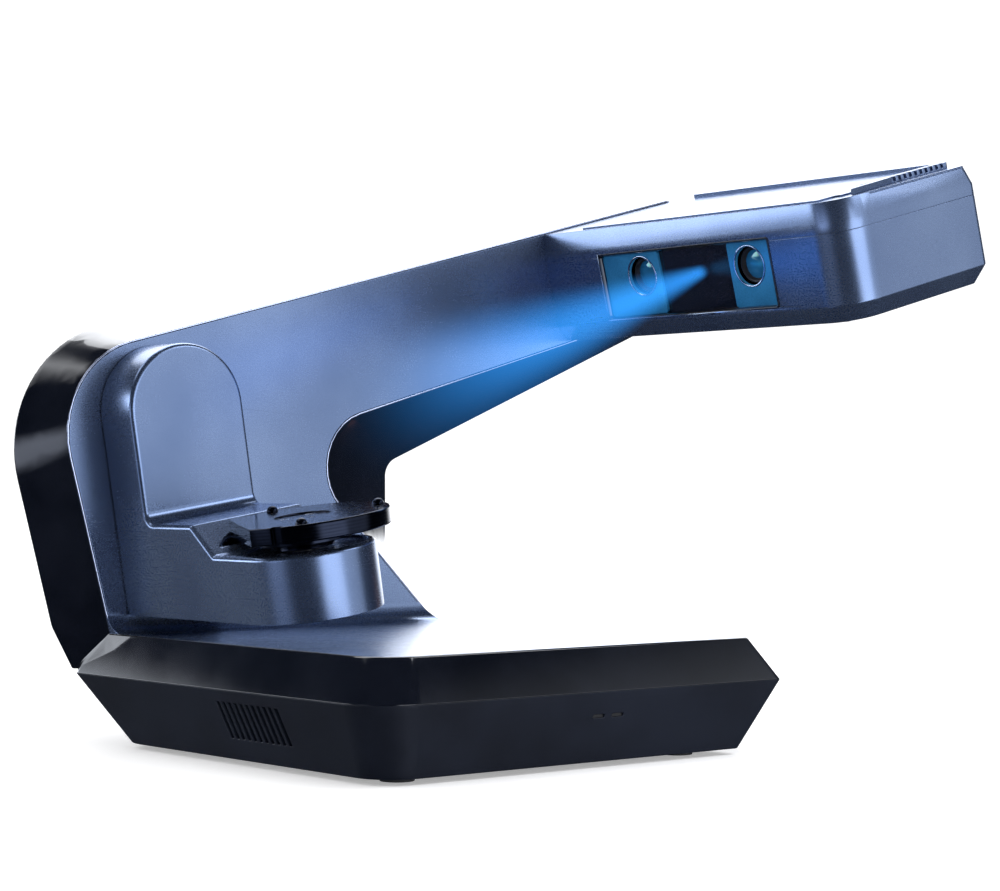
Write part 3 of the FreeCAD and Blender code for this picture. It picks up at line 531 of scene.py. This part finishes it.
# ---------------------------------------------------------------- settings
class ScannerFinish(bpy.types.PropertyGroup):
    """Colours and gloss of the finishes"""

    shell_deep: FloatVectorProperty(
        name="Shell deep", description="Darker tone of the satin lacquer", subtype="COLOR",
        default=(0.125, 0.178, 0.305), min=0.0, max=1.0)
    shell_pale: FloatVectorProperty(
        name="Shell pale", description="Lighter tone of the satin lacquer", subtype="COLOR",
        default=(0.205, 0.272, 0.420), min=0.0, max=1.0)
    shell_roughness: FloatProperty(
        name="Shell roughness", description="Mean roughness of the satin lacquer",
        subtype="FACTOR", default=0.27, min=0.0, max=1.0)
    gloss_deep: FloatVectorProperty(
        name="Gloss deep", description="Darker tone of the gloss lacquer", subtype="COLOR",
        default=(0.0015, 0.0020, 0.0040), min=0.0, max=1.0)
    gloss_pale: FloatVectorProperty(
        name="Gloss pale", description="Lighter tone of the gloss lacquer", subtype="COLOR",
        default=(0.0040, 0.0050, 0.0090), min=0.0, max=1.0)
    moulded_deep: FloatVectorProperty(
        name="Moulded deep", description="Darker tone of the moulded navy shell", subtype="COLOR",
        default=(0.0045, 0.0065, 0.0140), min=0.0, max=1.0)
    moulded_pale: FloatVectorProperty(
        name="Moulded pale", description="Lighter tone of the moulded navy shell", subtype="COLOR",
        default=(0.0085, 0.0120, 0.0240), min=0.0, max=1.0)


class ScannerSizes(bpy.types.PropertyGroup):
    """Sizes of the edges and trims"""

    shell_edge: FloatProperty(
        name="Shell edge", description="Rounding of the outer shells' edges", unit="LENGTH",
        default=0.0004, min=0.0, max=0.002)
    fine_edge: FloatProperty(
        name="Fine edge", description="Rounding of small parts' edges", unit="LENGTH",
        default=0.0002, min=0.0, max=0.001)
    # The bright rim is a strip that paints the highlight on the plate's edge.
    rim_highlight_width: FloatProperty(
        name="Rim width", description="Width of the bright rim round the plate", unit="LENGTH",
        default=0.0007, min=0.0002, max=0.003)
    lathe_steps: IntProperty(
        name="Lathe steps", description="Facets round each turned optic", default=72,
        min=16, max=256)


class ScannerStudio(bpy.types.PropertyGroup):
    """Lights and camera"""

    backdrop: FloatProperty(
        name="Backdrop", description="Brightness of the pale backdrop", default=1.2,
        min=0.0, max=5.0)
    beam_strength: FloatProperty(
        name="Beam strength", description="Glow of the projected light in the air", default=17.0,
        min=0.0)
    camera_place: FloatVectorProperty(
        name="Camera place", description="Where the camera stands", subtype="TRANSLATION",
        unit="LENGTH", default=(-0.7799, -1.0318, 0.1374))
    camera_heading: FloatVectorProperty(
        name="Camera heading", description="Azimuth and elevation of the view", size=2,
        default=(math.radians(39.49), math.radians(0.81)), unit="ROTATION")
    focal_length: FloatProperty(
        name="Focal length", description="Focal length of the lens in millimetres", default=89.8,
        min=10.0)


# ---------------------------------------------------------------- operators
class SCANNER_OT_shells(bpy.types.Operator):
    """Finish the outer shells of base, column, arm and head"""

    bl_idname = "scanner.shells"
    bl_label = "Outer shells"

    def execute(self, context):
        looks, sizes = context.scene.scanner_finish, context.scene.scanner_sizes
        dress(satin_shell(looks), "front_cover", "tilt_bracket", "head_upper_shell",
              "head_lower_shell", "head_top_panel")
        dress(gloss_black(looks), "gloss_band", "window_frame")
        dress(dark_shell(looks), "base_tray", "rear_shell", "bracket_cover")
        soften(sizes.shell_edge, "front_cover", "gloss_band", "tilt_bracket", "head_lower_shell",
               "base_tray", "rear_shell")
        soften(sizes.fine_edge, "head_upper_shell", "head_top_panel", "window_frame",
               "bracket_cover")
        return {"FINISHED"}


class SCANNER_OT_turntable(bpy.types.Operator):
    """Finish the turntable, its hub and its pins"""

    bl_idname = "scanner.turntable"
    bl_label = "Turntable"

    def execute(self, context):
        turning = ("turntable_plate", "turntable_hub", "locating_pins")
        centre = IN_BRACKET @ Vector((0, SPIN_Y, 0))
        up = (IN_BRACKET.to_3x3() @ Vector((0, 0, 1))).normalized()
        dress(machined("turned black anodising", (0.008, 0.010, 0.017), (0.018, 0.022, 0.036),
                       0.12, centre, up), *turning)
        soften(context.scene.scanner_sizes.fine_edge, *turning)
        return {"FINISHED"}


class SCANNER_OT_hardware(bpy.types.Operator):
    """Finish screws, shafts, gears, motors, fans, board and sockets"""

    bl_idname = "scanner.hardware"
    bl_label = "Hardware"

    def execute(self, context):
        tilt_axis = (BRACKET_ORIGIN, Vector((0, 1, 0)))
        dress(machined("ground steel", (0.42, 0.43, 0.46), (0.62, 0.63, 0.66), 0.22, *tilt_axis),
              "tray_screws", "bracket_screws", "plate_screws", "head_screws", "tilt_shaft",
              "turntable_shaft", "tilt_bearings", "chassis_plate")
        dress(machined("cut brass", (0.50, 0.34, 0.12), (0.72, 0.52, 0.22), 0.24, *tilt_axis),
              "tilt_gear", "tilt_pinion")
        dress(circuit_board(), "main_board")
        dress(speckled("black plastic", (0.010, 0.010, 0.012), (0.026, 0.026, 0.030),
                       roughness=0.42, grain_scale=900.0, grain_depth=50e-6),
              "power_inlet", "switch_housing", "switch_rocker", "data_port", "base_fan_frame",
              "base_fan_rotor", "head_fan_frame", "head_fan_rotor")
        dress(speckled("rubber", (0.012, 0.012, 0.013), (0.028, 0.028, 0.030),
                       roughness=0.78, grain_scale=700.0, grain_depth=120e-6),
              "rubber_feet")
        dress(speckled("motor laminations", (0.05, 0.05, 0.055), (0.16, 0.16, 0.17),
                       roughness=0.38, grain_scale=1500.0, grain_depth=60e-6, metallic=0.7),
              "tilt_motor", "turntable_motor")
        dress(speckled("light pipe", (0.001, 0.001, 0.002), (0.002, 0.002, 0.004),
                       roughness=0.6, grain_scale=900.0, grain_depth=20e-6),
              "status_lights")
        return {"FINISHED"}


class SCANNER_OT_optics(bpy.types.Operator):
    """Finish the optical bench, cameras, projector and window"""

    bl_idname = "scanner.optics"
    bl_label = "Optics"

    def execute(self, context):
        sizes = context.scene.scanner_sizes
        camera = speckled("camera black", (0.010, 0.011, 0.015), (0.024, 0.026, 0.034),
                          roughness=0.34, grain_scale=1500.0, grain_depth=30e-6, metallic=0.3)
        dress(speckled("sand-blasted aluminium", (0.30, 0.31, 0.33), (0.48, 0.49, 0.52),
                       roughness=0.36, grain_scale=1300.0, grain_depth=50e-6, metallic=1.0),
              "optical_bench", "tilt_housing", "projector_body")
        dress(camera, "camera_bodies")
        dress(speckled("blue-black plate", (0.022, 0.150, 0.330), (0.038, 0.240, 0.480),
                       roughness=0.22, grain_scale=1200.0, grain_depth=20e-6, metallic=0.4),
              "lens_plates")
        dress(coated_glass("window glass", (0.003, 0.004, 0.008), (0.006, 0.009, 0.018), 300.0),
              "window_glass")
        soften(sizes.fine_edge, "lens_plates", "camera_bodies")
        self.turn_optics(sizes.lathe_steps, camera)
        return {"FINISHED"}

    def turn_optics(self, steps, camera):
        """Lens barrels, front elements and the projector's dome, in place of the plain solids."""
        barrels = new_piece("lens_barrels", optic_build(BARREL, BARREL_T, LENS_Y, steps),
                            camera, "body")
        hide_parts("camera_barrels")
        element = dome(ball=0.020, radius=0.0084, front=0.0006, back=0.0032)
        glass = coated_glass("camera glass", (0.010, 0.080, 0.190), (0.018, 0.130, 0.290), 420.0)
        elements = new_piece("lens_elements", optic_build(element, BARREL_T, LENS_Y, steps),
                             glass, "body")
        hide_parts("camera_lenses")
        bulb = dome(ball=0.014, radius=0.0074, front=0.0005, back=0.006)
        blue = glowing("projector glass", (0.10, 0.50, 1.0), strength=9.0, dim=0.7)
        lit = new_piece("projector_dome", optic_build(bulb, PROJECTOR_T, [PROJECTOR_Y], steps),
                        blue, "body")
        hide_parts("projector_lens")
        bright = speckled("polished bezel", (0.42, 0.52, 0.68), (0.58, 0.68, 0.85),
                          roughness=0.14, grain_scale=2000.0, grain_depth=10e-6, metallic=1.0)
        new_piece("lens_bezels", optic_build(BEZEL, BEZEL_T, LENS_Y, steps),
                  bright, "body")
        # Bright strips in the bezels' polished metal that paint the highlight on the window's
        # corner.
        new_piece("window_highlight_lines", build_window_highlight_lines, bright, "body")


class SCANNER_OT_rim_highlight(bpy.types.Operator):
    """Bright line round the front plate that paints the highlight on its edge"""

    bl_idname = "scanner.rim"
    bl_label = "Plate rim highlight"

    def execute(self, context):
        # Bright metal with turned rings that paints the highlight on the plate's edge.
        bright = machined("painted rim highlight", (0.45, 0.50, 0.66), (0.62, 0.68, 0.85), 0.16,
                          BODY_ORIGIN, Vector((0, 1, 0)))
        new_piece("plate_rim_highlight", rim_highlight_build(context.scene.scanner_sizes.rim_highlight_width),
                  bright, "body")
        return {"FINISHED"}


class SCANNER_OT_stage(bpy.types.Operator):
    """Pale floor, studio light, projected beam and camera"""

    bl_idname = "scanner.stage"
    bl_label = "Studio"

    def execute(self, context):
        studio = context.scene.scanner_studio
        self.make_camera(context, studio)
        self.make_floor()
        self.paint_studio(context, studio)
        self.make_card("head bevel card", place=(0.42, -0.58, 0.66), target=(0.23, -0.15, 0.30),
                       size=(0.50, 0.26), watts=1.7, colour=(1.0, 1.03, 1.10))
        self.make_card("warm card", place=(0.30, -0.02, 0.05), target=(0.03, 0.09, 0.12),
                       size=(0.10, 0.10), watts=0.006, colour=(1.0, 0.40, 0.20))
        self.make_beam(studio)
        context.scene.view_settings.view_transform = "Standard"
        return {"FINISHED"}

    def make_camera(self, context, studio):
        data = bpy.data.cameras.new("camera")
        data.lens = studio.focal_length
        data.sensor_width = SENSOR_WIDTH
        camera = bpy.data.objects.new("camera", data)
        camera.location = studio.camera_place
        azimuth, elevation = studio.camera_heading
        level = math.cos(elevation)
        ahead = Vector((math.sin(azimuth) * level, math.cos(azimuth) * level, math.sin(elevation)))
        camera.rotation_euler = ahead.to_track_quat("-Z", "Y").to_euler()
        put(camera)
        context.scene.camera = camera

    def make_floor(self):
        material, g = finish("pale floor")
        tone = g.blend(g.noise(3.0, detail=3.0), (0.90, 0.90, 0.91), (0.94, 0.94, 0.95))
        g.surface(Base_Color=tone, Roughness=0.9, Emission_Color=(1.0, 1.0, 1.0, 1.0),
                  Emission_Strength=0.35)
        mesh = bpy.data.meshes.new("floor")
        corners = [(x * FLOOR_HALF, y * FLOOR_HALF, 0)
                   for x, y in ((-1, -1), (1, -1), (1, 1), (-1, 1))]
        mesh.from_pydata(corners, [], [(0, 1, 2, 3)])
        floor = bpy.data.objects.new("floor", mesh)
        floor.data.materials.append(material)
        floor.visible_glossy = False
        put(floor)

    def paint_studio(self, context, studio):
        """Soft light by direction for reflections, plain pale backdrop for everything else."""
        world = bpy.data.worlds.new("studio")
        world.use_nodes = True
        world.cycles.sampling_method = "NONE"
        context.scene.world = world
        g = Graph(world.node_tree)
        ray = g.node("ShaderNodeTexCoord", {}, {}, output="Generated")
        x, y, z = (ray.part(axis) for axis in range(3))
        turn = x.math("ARCTAN2", 0.0 - y) * DEGREES
        rise = z.math("ARCSINE") * DEGREES
        hoop = turn.math("ABSOLUTE").ramp(*HOOP_BEGINS) * rise.within(*HOOP_RISE)
        total = g.node("ShaderNodeAddShader", {}, {
            0: g.emission(DIM, 1.0), 1: g.emission(HOOP_TINT, hoop * HOOP_STRENGTH)})
        for turns, rises, tint, strength in PATCHES:
            glow = g.emission(tint, turn.within(*turns) * rise.within(*rises) * strength)
            total = g.node("ShaderNodeAddShader", {}, {0: total, 1: glow})
        plain = g.emission((1, 1, 1), studio.backdrop)
        glossy = g.node("ShaderNodeLightPath", {}, {}, output="Is Glossy Ray")
        chosen = g.node("ShaderNodeMixShader", {}, {0: glossy, 1: plain, 2: total})
        g.node("ShaderNodeOutputWorld", {}, {"Surface": chosen})

    def make_card(self, name, place, target, size, watts, colour):
        """Rectangular light that the camera does not see."""
        lamp = bpy.data.lights.new(name, "AREA")
        lamp.shape = "RECTANGLE"
        lamp.energy, lamp.color = watts, colour
        lamp.size, lamp.size_y = size
        light = bpy.data.objects.new(name, lamp)
        light.location = place
        aim = Vector(target) - Vector(place)
        light.rotation_euler = aim.to_track_quat("-Z", "Y").to_euler()
        light.visible_camera = False
        put(light)

    def make_beam(self, studio):
        """Projected light in the air in front of the window."""
        material, g = finish("projected light")
        place = g.place()
        x, y, z = (place.part(axis) for axis in range(3))
        spread = BEAM_START + z * BEAM_FLARE
        core = (1.0 - ((x * x + y * y) / (spread * spread)).math("MINIMUM", 1.0)) ** 2.0
        fade = z.ramp(*BEAM_FADES, 1.0, 0.0) * z.ramp(*BEAM_COMES_UP)
        strength = core * fade / (spread * BEAM_SPREADING) * studio.beam_strength
        glow = g.emission((0.03, 0.33, 1.0), strength)
        g.node("ShaderNodeOutputMaterial", {}, {"Volume": glow})
        start = IN_BODY @ Vector((WINDOW_T + BEAM_OUT, PROJECTOR_Y + BEAM_ASIDE, LENS_N))
        target = IN_BRACKET @ Vector((0, SPIN_Y, BEAM_TARGET_W))
        aim = (target - start).to_track_quat("Z", "Y").to_matrix().to_4x4()
        cone = [(0, 0), (BEAM_START, 0),
                (BEAM_START + BEAM_FLARE * BEAM_LENGTH, BEAM_LENGTH), (0, BEAM_LENGTH)]
        mesh = mesh_from("beam", lambda bm: lathe(bm, cone, Matrix.Identity(4)))
        beam = bpy.data.objects.new("beam", mesh)
        beam.matrix_world = Matrix.Translation(start) @ aim
        beam.data.materials.append(material)
        put(beam)


class SCANNER_PT_panel(bpy.types.Panel):
    """Steps and settings of the scanner"""

    bl_label = "Scanner"
    bl_idname = "SCANNER_PT_panel"
    bl_space_type = "VIEW_3D"
    bl_region_type = "UI"
    bl_category = "Scanner"

    def draw(self, context):
        column = self.layout.column()
        for step in STEPS:
            column.operator(step.bl_idname)
        for name in ("scanner_finish", "scanner_sizes", "scanner_studio"):
            group = getattr(context.scene, name)
            for key in group.__annotations__:
                column.prop(group, key)


STEPS = (SCANNER_OT_shells, SCANNER_OT_turntable, SCANNER_OT_hardware, SCANNER_OT_optics,
         SCANNER_OT_rim_highlight, SCANNER_OT_stage)
GROUPS = (ScannerFinish, ScannerSizes, ScannerStudio)


def register():
    for kind in (*GROUPS, *STEPS, SCANNER_PT_panel):
        bpy.utils.register_class(kind)
    bpy.types.Scene.scanner_finish = PointerProperty(type=ScannerFinish)
    bpy.types.Scene.scanner_sizes = PointerProperty(type=ScannerSizes)
    bpy.types.Scene.scanner_studio = PointerProperty(type=ScannerStudio)


def unregister():
    del bpy.types.Scene.scanner_studio
    del bpy.types.Scene.scanner_sizes
    del bpy.types.Scene.scanner_finish
    for kind in reversed((*GROUPS, *STEPS, SCANNER_PT_panel)):
        bpy.utils.unregister_class(kind)


def main():
    register()
    for step in STEPS:
        group, name = step.bl_idname.split(".")
        getattr(getattr(bpy.ops, group), name)()


if __name__ == "__main__":
    main()
